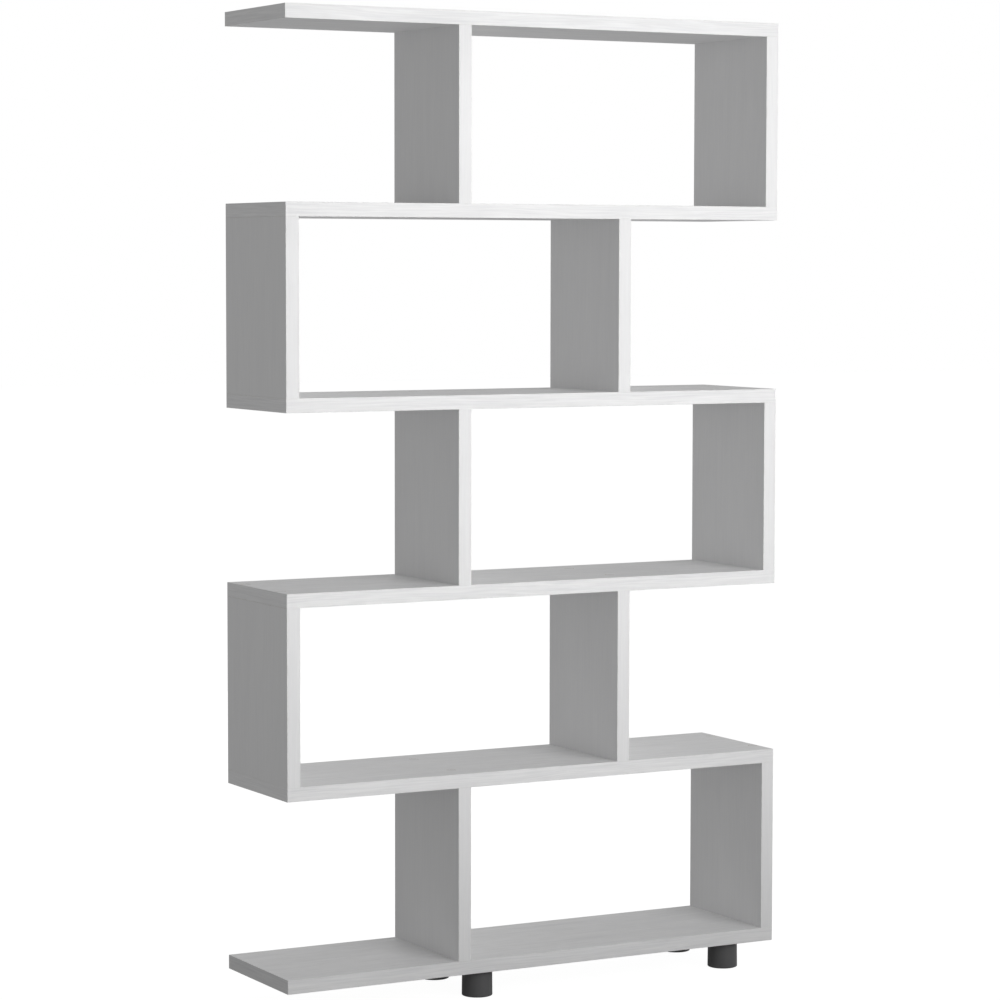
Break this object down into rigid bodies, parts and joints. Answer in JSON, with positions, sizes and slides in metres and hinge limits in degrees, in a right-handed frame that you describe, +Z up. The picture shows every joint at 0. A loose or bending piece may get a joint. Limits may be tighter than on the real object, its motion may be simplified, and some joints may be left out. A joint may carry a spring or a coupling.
{
  "type": "shelving unit",
  "caption": "Open shelving unit of staggered boxes: full-width white boards on offset uprights, open to front and rear, on round dark levelling feet.",
  "frame": {"origin": "on the floor, under the middle of the unit's outline", "axes": "+Z up; the front faces -Y; +X to the right seen from the front"},
  "size_m": [0.72, 0.18, 1.263],
  "materials": {
    "board_facing": "white melamine facing on chipboard, faint wood grain along the board, satin",
    "upright_facing": "white melamine facing on chipboard, faint upright wood grain, satin",
    "edge_band": "white plastic edge band with rounded arrises, satin",
    "cap_plastic": "white moulded plastic, matte",
    "fastener_steel": "zinc-plated steel",
    "dowel_beech": "plain beech",
    "foot_plastic": "dark grey moulded plastic, satin"
  },
  "bodies": {
    "carcass": {"bottom_board": "board_facing", "shelf_board_1": "board_facing", "shelf_board_2": "board_facing", "shelf_board_3": "board_facing", "shelf_board_4": "board_facing", "top_board": "board_facing", "tier_1_inner_upright": "upright_facing", "tier_1_end_upright": "upright_facing", "tier_2_inner_upright": "upright_facing", "tier_2_end_upright": "upright_facing", "tier_3_inner_upright": "upright_facing", "tier_3_end_upright": "upright_facing", "tier_4_inner_upright": "upright_facing", "tier_4_end_upright": "upright_facing", "tier_5_inner_upright": "upright_facing", "tier_5_end_upright": "upright_facing", "bottom_board_edge_bands": "edge_band", "shelf_board_1_edge_bands": "edge_band", "shelf_board_2_edge_bands": "edge_band", "shelf_board_3_edge_bands": "edge_band", "shelf_board_4_edge_bands": "edge_band", "top_board_edge_bands": "edge_band", "tier_1_inner_upright_edge_bands": "edge_band", "tier_1_end_upright_edge_bands": "edge_band", "tier_2_inner_upright_edge_bands": "edge_band", "tier_2_end_upright_edge_bands": "edge_band", "tier_3_inner_upright_edge_bands": "edge_band", "tier_3_end_upright_edge_bands": "edge_band", "tier_4_inner_upright_edge_bands": "edge_band", "tier_4_end_upright_edge_bands": "edge_band", "tier_5_inner_upright_edge_bands": "edge_band", "tier_5_end_upright_edge_bands": "edge_band", "bottom_board_screws": "fastener_steel", "shelf_board_1_screws": "fastener_steel", "shelf_board_2_screws": "fastener_steel", "shelf_board_3_screws": "fastener_steel", "shelf_board_4_screws": "fastener_steel", "top_board_screws": "fastener_steel", "bottom_board_screw_caps": "cap_plastic", "shelf_board_1_screw_caps": "cap_plastic", "shelf_board_2_screw_caps": "cap_plastic", "shelf_board_3_screw_caps": "cap_plastic", "shelf_board_4_screw_caps": "cap_plastic", "top_board_screw_caps": "cap_plastic", "bottom_board_dowels": "dowel_beech", "shelf_board_1_dowels": "dowel_beech", "shelf_board_2_dowels": "dowel_beech", "shelf_board_3_dowels": "dowel_beech", "shelf_board_4_dowels": "dowel_beech", "top_board_dowels": "dowel_beech", "foot_insert_nuts": "fastener_steel"},
    "front_left_levelling_foot": {"front_left_foot": "foot_plastic", "front_left_foot_bolt": "fastener_steel"},
    "rear_left_levelling_foot": {"rear_left_foot": "foot_plastic", "rear_left_foot_bolt": "fastener_steel"},
    "front_right_levelling_foot": {"front_right_foot": "foot_plastic", "front_right_foot_bolt": "fastener_steel"},
    "rear_right_levelling_foot": {"rear_right_foot": "foot_plastic", "rear_right_foot_bolt": "fastener_steel"}
  },
  "joints": [
    {"name": "front_left_foot_thread", "type": "slide", "parent": "carcass", "child": "front_left_levelling_foot", "axis": [0, 0, -1], "range_m": [0, 0.01]},
    {"name": "rear_left_foot_thread", "type": "slide", "parent": "carcass", "child": "rear_left_levelling_foot", "axis": [0, 0, -1], "range_m": [0, 0.01]},
    {"name": "front_right_foot_thread", "type": "slide", "parent": "carcass", "child": "front_right_levelling_foot", "axis": [0, 0, -1], "range_m": [0, 0.01]},
    {"name": "rear_right_foot_thread", "type": "slide", "parent": "carcass", "child": "rear_right_levelling_foot", "axis": [0, 0, -1], "range_m": [0, 0.01]}
  ]
}
